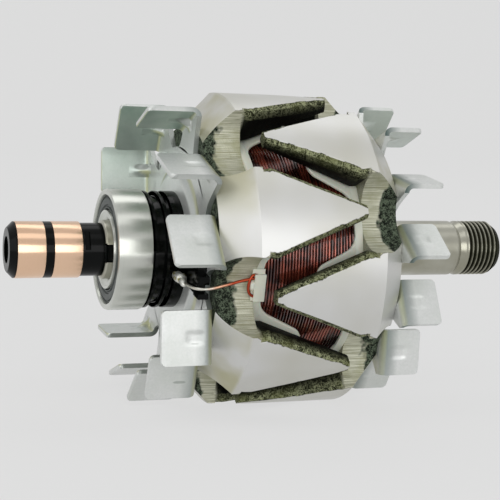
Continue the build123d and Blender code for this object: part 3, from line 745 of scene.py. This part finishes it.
# Natural polyamide: cream, satin and a little translucent at its thin edges.
cream_plastic = moulded_plastic("natural_polyamide", "#E0E1D2", 0.4, Coat_Weight=0.15,
                                Subsurface_Weight=0.12, Subsurface_Scale=0.0008)
rim_x = DISC_INNER_X - FLANGE_THICKNESS
bead = [(DISC_INNER_X, FLANGE_R), (PETAL_ROOT_X, FLANGE_R), (PETAL_ROOT_X, COIL_R + 0.02),
        (rim_x, COIL_R + 0.02)]
spool_loop = ring_profile([(-DISC_INNER_X, BOBBIN_BORE_R), (DISC_INNER_X, BOBBIN_BORE_R)] + bead
                          + [(rim_x, COIL_BORE - 0.1), (-rim_x, COIL_BORE - 0.1)]
                          + [(-x, r) for x, r in bead[::-1]], SPOOL_EDGE)
petals = [(petal_grid(sense, phase + 60 * i), False, True)
          for sense, phase in ((1, REAR_PHASE), (-1, FRONT_PHASE)) for i in range(6)]
bobbin = piece("coil_bobbin_moulding", [(lathe(spool_loop), True, True)] + petals, sharp=40)
dress(bobbin, "rotor", cream_plastic, "cream_plastic", "coil_bobbin")
for end in ("near", "far"):
    block = from_node("lead_block_" + end, "lead_block_moulding_" + end, BLOCK_EDGE)
    dress(block, "rotor", cream_plastic, "cream_plastic", "lead_block_" + end)


# Field coil: round enamelled copper wire wound in layers on the bobbin. The outer layer is a real
# helix; the layers under it are one ring painted dark as shade, since only the gaps between turns
# show it.
COIL_HALF = 14.9
WIRE_PITCH = 0.9
WIRE_R = 0.43
TURN_WANDER = 0.05
CORE_DROP = 0.8
TURN_POINTS = 96


def tube(path, radius, sides):
    """Round tube about a path. Its two side vectors are the path's tangent crossed with the
    spoke from the shaft's axis, and the tangent crossed with that."""
    tangent = np.gradient(path, axis=0)
    tangent /= np.linalg.norm(tangent, axis=1, keepdims=True)
    side = np.cross(tangent, path * (0, 1, 1))
    side /= np.linalg.norm(side, axis=1, keepdims=True)
    other = np.cross(tangent, side)
    a = np.linspace(0, tau, sides, endpoint=False)[None, :, None]
    body = path[:, None] + (side[:, None] * np.cos(a) + other[:, None] * np.sin(a)) * radius
    first, last = (np.repeat(path[i][None, None], sides, 1) for i in (0, -1))
    return np.concatenate([first, body, last], axis=0)


def winding():
    """Helix of the outer layer: x grows by one pitch a turn, at the layer's middle radius, which
    wanders by a twentieth of a millimetre from turn to turn."""
    turns = int(2 * (COIL_HALF - WIRE_R) / WIRE_PITCH)
    a = np.linspace(0, tau * turns, TURN_POINTS * turns)
    x = (a / (tau * turns) - 0.5) * turns * WIRE_PITCH
    r = COIL_R - WIRE_R - TURN_WANDER + TURN_WANDER * np.sin(a * 0.37) * np.sin(a * 0.119)
    return turned(x, r, a)


def enamelled_copper():
    """Copper magnet wire under a clear reddish enamel. The tone changes from turn to turn, which
    are 0.9 mm apart, and in patches of 4 mm where the varnish has run."""
    material, tree, shader = surface_material("enamelled_copper_wire", Metallic=0.75,
                                              Roughness=0.26, Coat_Weight=1.0, Coat_Roughness=0.1)
    place = add(tree, "TexCoord").outputs["Object"]
    turns = add(tree, "Mapping", {"Vector": place, "Scale": (1100, 30, 30)})
    tone = add(tree, "TexNoise", {"Vector": turns, "Scale": 1.0, "Detail": 1.0})
    runs = add(tree, "TexNoise", {"Vector": place, "Scale": 240.0, "Detail": 2.0})
    both = add(tree, "Math", (tone, runs), operation="ADD")
    share = add(tree, "MapRange", (both, 0.86, 1.2))
    colour = add(tree, "Mix", {0: share, 6: linear("#2E100C"), 7: linear("#9A4B38")}, data_type="RGBA")
    plug(tree, shader, {"Base Color": colour})
    return material


coil = piece("field_coil_winding", [(tube(winding(), WIRE_R, sides=8), False, True)])
dress(coil, "rotor", enamelled_copper(), "enamelled_copper", "field_coil")
# Lower layers: painted shade, dark brown, and only seen as lines between the turns.
gap_shade = moulded_plastic("shaded_lower_layers", "#120B0A", 0.5)
core_loop = [(-COIL_HALF, COIL_BORE), (COIL_HALF, COIL_BORE), (COIL_HALF, COIL_R - CORE_DROP),
             (-COIL_HALF, COIL_R - CORE_DROP)]
core = piece("field_coil_layers", [(lathe(core_loop), True, True)])
dress(core, "rotor", gap_shade, "enamelled_copper", "field_coil")


# Fans: pressed from zinc-plated sheet, with a painted blue-green reflection on the hollow side of
# the upper blades. The hub is dished to clear the shaft's shoulder; each arm ends in a blade folded
# up on a slanting line, with a gusset.
FAN_FACE_X = 27.0
FAN_SHEET = 1.4
FAN_BORE_R = 10.7
FAN_HUB_R = 30.0
FAN_DISH_RISE = 1.6
FAN_DISH_FOOT_R = 24.3
FAN_DISH_TOP_R = 21.6
FAN_DISH_EASE = 0.8
FOLD_R = 2.7
ARM_LEAD = 5.2
ARM_TRAIL = 3.0
ARM_FLARE = 2.2
ARM_SINK = 0.06
BLADE_TOP_EASE = (0.25, 0.2)
BLADE_CORNER_R = 1.3
CORNER_REACH = 1.2
CORNER_GAP = 0.4
GUSSET_HALF = 2.1
GUSSET_REACH = 6.2
GUSSET_FOOT = 3.4
GUSSET_SWELL = (0.75, -0.12)
DIMPLE_DEPTH = 0.25
DIMPLE_SHARE = 0.8
DIMPLE_HEIGHT = 5.6
DIMPLE_HALF_HEIGHT = 2.2
# Each blade's angles at its outer and inner corner, and its height.
REAR_BLADES = [(3.6, 23.4, 14.5), (34.9, 54.6, 14.5), (71.0, 88.2, 15.3), (112.9, 131.0, 15.3),
               (143.4, 160.0, 16.4), (184.0, 201.0, 16.4), (222.9, 237.2, 16.5),
               (248.7, 264.8, 16.4), (274.2, 292.8, 15.5), (298.5, 314.0, 15.0),
               (324.0, 342.0, 15.0)]
FRONT_BLADES = [(start, start + 14.5, 12.4) for start in (
    6.0, 33.4, 62.7, 90.0, 121.0, 152.0, 184.0, 216.0, 248.0, 279.0, 309.5, 339.0)]
# Each fan's side of the rotor, the radii of a blade's outer and inner corner, and its blades; then
# how strong the painted green reflection on its hollow sides is, how dark the painted shade at its
# blades' roots is, and how dull its sheared edges are.
FANS = {"rear_fan": (-1, 44.7, 36.5, REAR_BLADES, (0.85, 0.6, 0.7)),
        "front_fan": (1, 43.4, 34.0, FRONT_BLADES, (0.4, 0.9, 0.0))}
AXIS = np.array([1.0, 0.0, 0.0])


def fold_path(side):
    """Outer (0) or inner (1) skin of the section, from the hub over the fold to the blade's top, as
    columns of: share of the way to the hub, distance inwards, height, share of the blade's height."""
    sign = 1 - 2 * side
    b = np.linspace(0, pi / 2, 7)
    reach = FOLD_R - side * FAN_SHEET
    arm = np.linspace(1, 0, 9)[:-1]
    rise = np.concatenate([np.linspace(0, 0.6, 11)[1:], [0.8, 0.92, 1, 1]])
    q = np.concatenate([arm, 0 * b, 0 * rise])
    inwards = np.concatenate([0 * arm + FOLD_R, FOLD_R - reach * np.sin(b),
                              0 * rise + side * FAN_SHEET])
    inwards[-1] += BLADE_TOP_EASE[0] * sign
    height = np.concatenate([0 * arm + side * FAN_SHEET, FOLD_R - reach * np.cos(b),
                             0 * rise + FOLD_R])
    height[0] += ARM_SINK * sign
    height[-2] -= BLADE_TOP_EASE[1]
    return q, inwards, height, np.concatenate([0 * arm, 0 * b, rise])


def blade_grids(outer_r, inner_r, start, end, full_height):
    """One blade with its arm. Rows run along the fold from its outer corner to its inner corner. A
    row is the closed section of arm, fold and blade, in which the arm's part is a straight line to
    the hub that flares beside it. The top falls in a quarter circle at both corners. The outer skin
    has the gusset's dimple, depth * exp(-w^8 - h^8) over its width and height."""
    outer, inner = polar(0, start, outer_r), polar(0, end, inner_r)
    along = inner - outer
    width = np.linalg.norm(along)
    along /= width
    inward = np.cross(along, AXIS)
    inward /= np.linalg.norm(inward)
    front, back = polar(0, start - ARM_LEAD, FAN_HUB_R - 1), polar(0, end + ARM_TRAIL, FAN_HUB_R - 1)
    ends = CORNER_REACH * (1 - np.cos(np.linspace(0, pi / 2, 7)[:-1])) * BLADE_CORNER_R
    middle = np.linspace(ends[-1] + CORNER_GAP, width - ends[-1] - CORNER_GAP, 27)
    s = np.concatenate([ends, middle, width - ends[::-1]])
    near_end = np.clip(1 - np.minimum(s, width - s) / BLADE_CORNER_R, 0, 1)
    top = full_height - BLADE_CORNER_R * (1 - np.sqrt(1 - near_end ** 2))
    spread = (2 * s / width - 1)[:, None, None]
    skins = []
    for side in (0, 1):
        q, inwards, height, share = fold_path(side)
        fold = outer + along * s[:, None, None] + inward * inwards[:, None]
        hub = front + (back - front) * (s / width)[:, None, None]
        flare = ARM_FLARE * spread * q[:, None] ** 4
        hub = hub + (back - front) / np.linalg.norm(back - front) * flare
        x = height + share * (top[:, None] - FOLD_R)
        w = (s - width / 2)[:, None] / GUSSET_HALF / DIMPLE_SHARE
        h = (x - DIMPLE_HEIGHT) / DIMPLE_HALF_HEIGHT
        dimple = DIMPLE_DEPTH * (1 - side) * np.exp(-w ** 8 - h ** 8) * (share > 0)
        fold = fold + inward * dimple[..., None]
        skins.append(fold * (1 - q[:, None]) + hub * q[:, None] + AXIS * x[..., None])
    section = np.concatenate([skins[0], skins[1][:, ::-1]], axis=1)
    caps = [(np.stack([skins[0][i], skins[1][i]]), False, False) for i in (0, -1)]
    return [(section, False, True)] + caps + [gusset_grid(outer + along * width / 2, along, inward)]


def gusset_grid(middle, along, inward):
    """Pressed gusset across the fold's hollow. Its crest is a nearly straight line from the blade
    to the arm; across it the height over the sheet falls as (1 - w^2) to the power 1.5, so it
    blends in. A second loop under the sheet closes it."""
    w = np.linspace(-1, 1, 13)[:, None, None]
    swell = (1 - w[..., 0] ** 2) ** 1.5
    b = np.linspace(pi / 2, 0, 6)
    reach = FOLD_R - FAN_SHEET
    inwards = np.concatenate([[FAN_SHEET] * 3, FOLD_R - reach * np.sin(b), [FAN_SHEET + GUSSET_FOOT]])
    height = np.concatenate([FAN_SHEET + np.array([GUSSET_REACH, 4.4, 2.8]),
                             FOLD_R - reach * np.cos(b), [FAN_SHEET]])
    t = np.linspace(0, 1, len(inwards))
    crest_in = FAN_SHEET + GUSSET_FOOT * t ** 1.3
    crest_height = FAN_SHEET + GUSSET_REACH * (1 - t) ** 1.1
    loops = []
    for share in GUSSET_SWELL:
        u = inwards + (crest_in - inwards) * share * swell
        v = height + (crest_height - height) * share * swell
        loops.append(middle + along * GUSSET_HALF * w + inward * u[..., None] + AXIS * v[..., None])
    return np.concatenate([loops[0], loops[1][:, ::-1]], axis=1), False, True


def fan_grids(outer_r, inner_r, blades, sense):
    """Hub and blades, at the pole's face, turned to face the shaft's near or far end."""
    t, rise, half = FAN_SHEET, FAN_DISH_RISE, FAN_SHEET / 2
    face = eased([(t, FAN_HUB_R), (t, FAN_DISH_FOOT_R), (t + rise, FAN_DISH_TOP_R),
                  (t + rise, FAN_BORE_R)], FAN_DISH_EASE, 4)
    dish = [(0, FAN_HUB_R)] + face + [(rise, FAN_BORE_R), (rise, FAN_DISH_TOP_R - half),
                                      (0, FAN_DISH_FOOT_R - half)]
    grids = [(lathe(dish), True, True)]
    for start, end, height in blades:
        grids += blade_grids(outer_r, inner_r, start, end, height)
    return [((grid + (FAN_FACE_X, 0, 0)) * (sense, 1, 1), a, b) for grid, a, b in grids]


def zinc_plated(name, sense, reflection_share, root_shade_share, edge_share):
    """Bright zinc on rolled steel sheet, clouded over 14 mm with a grain drawn at 0.7 mm, coarser
    than real. A painted blue-green reflection lies on the hollow side of the upper blades, painted
    shade darkens the outward faces at the blades' roots, and the passivation is straw-coloured in
    the folds and at the foot of the dish. The sheared side edges, whose normal is neither radial nor
    along the shaft, are duller."""
    material, tree, shader = surface_material(name, Metallic=0.6)
    where, axes, radius, facing = about_axis(tree)
    place = where["Object"]
    cloud = add(tree, "TexNoise", {"Vector": place, "Scale": 70.0, "Detail": 3.0})
    clouded = add(tree, "MapRange", (cloud, 0.35, 0.65))
    grain = add(tree, "TexNoise", {"Vector": place, "Scale": 1400.0, "Detail": 2.0})
    grained = add(tree, "MapRange", (grain, 0.3, 0.7, 0.0, 0.35))
    # Painted reflection: blue-green on faces turned to the axis, stronger on the upper blades.
    inward = add(tree, "MapRange", (facing, -0.1, -0.7))
    upper_share = add(tree, "MapRange", (axes["Z"], 0.005, 0.04, 0.15, reflection_share))
    hollow = add(tree, "Math", (inward, upper_share), operation="MULTIPLY")
    wide = add(tree, "TexNoise", {"Vector": place, "Scale": 160.0, "Detail": 2.0})
    green = add(tree, "Mix", {0: wide, 6: linear("#7FA791"), 7: linear("#C6D6CA")}, data_type="RGBA")
    along = add(tree, "Math", (axes["X"],), operation="ABSOLUTE")
    # Painted shade: dark blue-green on the outward faces near the blades' roots.
    root_from, root_to = (FAN_FACE_X + 0.5) / 1000, (FAN_FACE_X + 5.5) / 1000
    low = add(tree, "MapRange", (along, root_from, root_to, root_shade_share, 0.0))
    outside = add(tree, "MapRange", (facing, 0.2, 0.7))
    root = add(tree, "Math", (low, outside), operation="MULTIPLY")
    end = add(tree, "SeparateXYZ", (where["Normal"],)).outputs["X"]
    end = add(tree, "Math", (end, float(sense)), operation="MULTIPLY")
    bend = add(tree, "Math", (facing, end), operation="MULTIPLY")
    bend = add(tree, "MapRange", (bend, -0.2, -0.45, 0.0, 0.75))
    foot = add(tree, "Math", (radius, (0.05 - FAN_DISH_FOOT_R) / 1000), operation="ADD")
    foot = add(tree, "Math", (foot,), operation="ABSOLUTE")
    foot = add(tree, "MapRange", (foot, 0.0003, 0.001, 0.6, 0.0))
    straw = add(tree, "Math", (bend, foot), operation="MAXIMUM")
    square = add(tree, "Math", (facing, facing), operation="MULTIPLY")
    square = add(tree, "Math", (end, end, square), operation="MULTIPLY_ADD")
    sheared = add(tree, "MapRange", (square, 0.48, 0.4, 0.0, edge_share))
    colour = linear("#E4E5E4")
    for share, tone in ((clouded, linear("#D8DBD7")), (grained, linear("#C9CEC9")), (hollow, green),
                        (root, linear("#2B4A44")), (straw, linear("#B0B27C")),
                        (sheared, linear("#8E948E"))):
        colour = add(tree, "Mix", {0: share, 6: colour, 7: tone}, data_type="RGBA")
    gloss = add(tree, "MapRange", (cloud, 0.3, 0.7, 0.3, 0.42))
    relief = add(tree, "Bump", {"Height": grain, "Distance": 0.00004, "Strength": 0.5})
    plug(tree, shader, {"Base Color": colour, "Roughness": gloss, "Normal": relief})
    return material


for node, (sense, outer_r, inner_r, blades, shares) in FANS.items():
    fan = piece(node + "_sheet", fan_grids(outer_r, inner_r, blades, sense), sharp=32)
    dress(fan, "rotor", zinc_plated(node + "_zinc_plate", sense, *shares), "zinc_sheet", node)


# Leads: the coil's two ends. Each is looped round a peg by its block, carried along the valley,
# tinned towards its end, and soldered to the conductor in the lead guide. A route's points are
# station, angle from the valley's middle, and distance from the axis.
VALLEYS = {"near": FRONT_PHASE, "far": FRONT_PHASE + 180.0}
LEAD_R = 0.42
HOOK_R = 0.4
LEAD_ROUTE = [(-15.6, 4.6, 35.6), (-17.6, 4.0, 35.9), (-20.2, 3.2, 35.95), (-24.6, 1.3, 35.8),
              (-28.6, -0.4, 35.4), (-31.6, -1.6, 33.4), (-32.6, -3.4, 28.5), (-33.0, -5.6, 22.9),
              (-33.0, -6.0, 21.4)]
HOOK_ROUTE = [(-15.4, 5.6, 35.7), (-16.9, 5.7, 35.9), (-17.8, 3.4, 36.0), (-18.1, 0.0, 36.0),
              (-17.6, -2.5, 36.0), (-16.4, -3.9, 35.9), (-15.0, -4.2, 35.7)]
PATH_STEPS = 8
TINNED_X = (-28.5, -26.2)
ENAMEL_X = (-25.0, -21.5)
PEG = (-16.9, 0.9, 35.2)
PEG_SIZES = (0.9, 1.5, 1.5)
LUG_X = -33.0
LUG_ANGLE = -6.0
# The joint's foot, lump and collar: offset along the shaft and in angle, distance, half sizes.
SOLDER_FORMS = [(0.0, 0.0, 19.6, (1.55, 1.15, 2.6)), (0.3, 0.9, 21.4, (1.6, 1.35, 1.4)),
                (0.1, 0.7, 23.4, (1.0, 0.95, 2.7))]
BLOB_POWER = 2.6


def smooth_path(route, valley):
    """Catmull-Rom curve through the route's points:
    half of (2b + (c - a) t + (2a - 5b + 4c - d) t^2 + (3b - a - 3c + d) t^3) between b and c."""
    rows = np.array(route, float)
    points = polar(rows[:, 0], valley + rows[:, 1], rows[:, 2])
    points = np.concatenate([2 * points[:1] - points[1:2], points, 2 * points[-1:] - points[-2:-1]])
    a, b, c, d = (points[i:len(points) - 3 + i, None] for i in range(4))
    t = np.linspace(0, 1, PATH_STEPS, endpoint=False)[None, :, None]
    curve = (2 * b + (c - a) * t + (2 * a - 5 * b + 4 * c - d) * t ** 2
             + (3 * b - a - 3 * c + d) * t ** 3) / 2
    return np.concatenate([curve.reshape(-1, 3), points[-2:-1]])


def rounded(value):
    """Sine or cosine bent towards a square's corners, keeping its sign."""
    return np.sign(value) * np.abs(value) ** (2 / BLOB_POWER)


def blob(centre, up, sizes):
    """Rounded lump: |u|^2.6 + |v|^2.6 + |w|^2.6 = 1, with u along the shaft, w along up and v
    across both, each divided by its half size, from its foot to its crown."""
    t = np.linspace(-pi / 2, pi / 2, 14)[:, None]
    a = np.linspace(0, tau, 20, endpoint=False)[None, :]
    u, v = rounded(np.cos(t)) * rounded(np.cos(a)), rounded(np.cos(t)) * rounded(np.sin(a))
    w = rounded(np.sin(t)) + 0 * a
    return (centre + u[..., None] * AXIS * sizes[0] + v[..., None] * np.cross(up, AXIS) * sizes[1]
            + w[..., None] * up * sizes[2])


def tinned_wire():
    """Enamelled copper wire, stripped and tinned towards the lug: silver from x = -28 mm on, bare
    copper for a few millimetres, then the red enamel."""
    material, tree, shader = surface_material("tinned_end_of_copper_wire", Metallic=0.9,
                                              Roughness=0.28)
    place = add(tree, "TexCoord").outputs["Object"]
    axes = add(tree, "SeparateXYZ", (place,)).outputs
    blotch = add(tree, "TexNoise", {"Vector": place, "Scale": 900.0, "Detail": 2.0})
    station = add(tree, "Math", (blotch, 0.002, axes["X"]), operation="MULTIPLY_ADD")
    bare = add(tree, "MapRange", (station, TINNED_X[0] / 1000, TINNED_X[1] / 1000))
    enamelled = add(tree, "MapRange", (station, ENAMEL_X[0] / 1000, ENAMEL_X[1] / 1000))
    ends = {0: enamelled, 6: linear("#D9A88A"), 7: linear("#A8452C")}
    stripped = add(tree, "Mix", ends, data_type="RGBA")
    colour = add(tree, "Mix", {0: bare, 6: linear("#D4D2C8"), 7: stripped}, data_type="RGBA")
    plug(tree, shader, {"Base Color": colour})
    return material


def solder_metal():
    """Tin-lead solder, frozen with a dull skin wrinkled every millimetre, and straw-coloured flux
    in its hollows."""
    material, tree, shader = surface_material("tin_lead_solder", Metallic=0.7)
    place = add(tree, "TexCoord").outputs["Object"]
    wrinkle = add(tree, "TexNoise", {"Vector": place, "Scale": 900.0, "Detail": 3.0})
    flux = add(tree, "MapRange", (wrinkle, 0.5, 0.36))
    colour = add(tree, "Mix", {0: flux, 6: linear("#EAEAE4"), 7: linear("#A59E66")}, data_type="RGBA")
    gloss = add(tree, "MapRange", (wrinkle, 0.0, 1.0, 0.25, 0.4))
    relief = add(tree, "Bump", {"Height": wrinkle, "Distance": 0.0004, "Strength": 0.7})
    plug(tree, shader, {"Base Color": colour, "Roughness": gloss, "Normal": relief})
    return material


lead_metal = tinned_wire()
solder = solder_metal()
for end, valley in VALLEYS.items():
    for name, route, radius in (("lead_wire_round_", LEAD_ROUTE, LEAD_R),
                                ("lead_hook_", HOOK_ROUTE, HOOK_R)):
        wire_grid = tube(smooth_path(route, valley), radius, sides=12)
        wire = piece(name + end, [(wire_grid, False, True)], sharp=60)
        dress(wire, "rotor", lead_metal, "enamelled_copper", "lead_wire_" + end)
    peg_x, peg_angle, peg_r = PEG
    up = polar(0, valley + peg_angle, 1.0)
    peg_grid = blob(polar(peg_x, valley + peg_angle, peg_r), up, PEG_SIZES)
    peg = piece("lead_peg_" + end, [(peg_grid, False, True)], sharp=60)
    dress(peg, "rotor", cream_plastic, "cream_plastic")
    up = polar(0, valley + LUG_ANGLE, 1.0)
    forms = [blob(polar(LUG_X + x, valley + LUG_ANGLE + angle, r), up, sizes)
             for x, angle, r, sizes in SOLDER_FORMS]
    lug = piece("solder_joint_" + end, [(form, False, True) for form in forms], sharp=60)
    dress(lug, "rotor", solder, "solder", "solder_lug_" + end)
